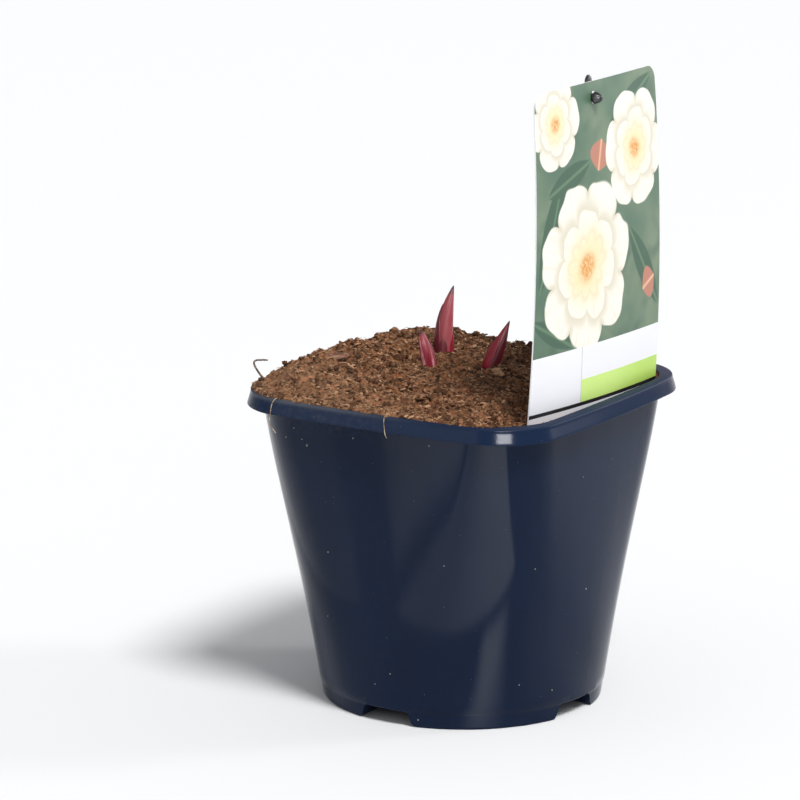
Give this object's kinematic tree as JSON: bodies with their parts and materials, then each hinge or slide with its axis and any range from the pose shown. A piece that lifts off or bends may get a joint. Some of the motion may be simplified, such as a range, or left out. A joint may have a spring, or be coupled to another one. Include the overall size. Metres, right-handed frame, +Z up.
{
  "type": "potted chinese peony",
  "caption": "Young herbaceous peony: crimson scaled buds in heaped soil, in a square-rimmed nursery pot with a round notched foot and a tall plant card on a stake.",
  "frame": {"origin": "middle of the pot's foot, on the surface that it stands on", "axes": "+Z up; +X from the middle of the pot towards the wall where the plant card stands, square to that side of the rim; +Y to the right of a viewer who faces the card's print"},
  "size_m": [0.1532, 0.1532, 0.2756],
  "materials": {
    "pot_plastic": "satin gloss, injection moulded, navy blue",
    "potting_soil": "loose crumbs of peat and coir with pale fibres, matte",
    "crown_skin": "brown root bark, matte",
    "bud_skin": "smooth crimson bud scales, satin with a soft shine",
    "dry_root": "dry grey-brown root, matte",
    "card_print": "printed plastic card with a satin lacquer",
    "stake_plastic": "black moulded plastic"
  },
  "bodies": {
    "root": {"pot": "pot_plastic", "soil": "potting_soil", "peony_crown": "crown_skin", "shoot_tall": "bud_skin", "shoot_left": "bud_skin", "shoot_right": "bud_skin", "hooked_root": "dry_root", "label": "card_print", "label_stake": "stake_plastic"}
  },
  "joints": []
}
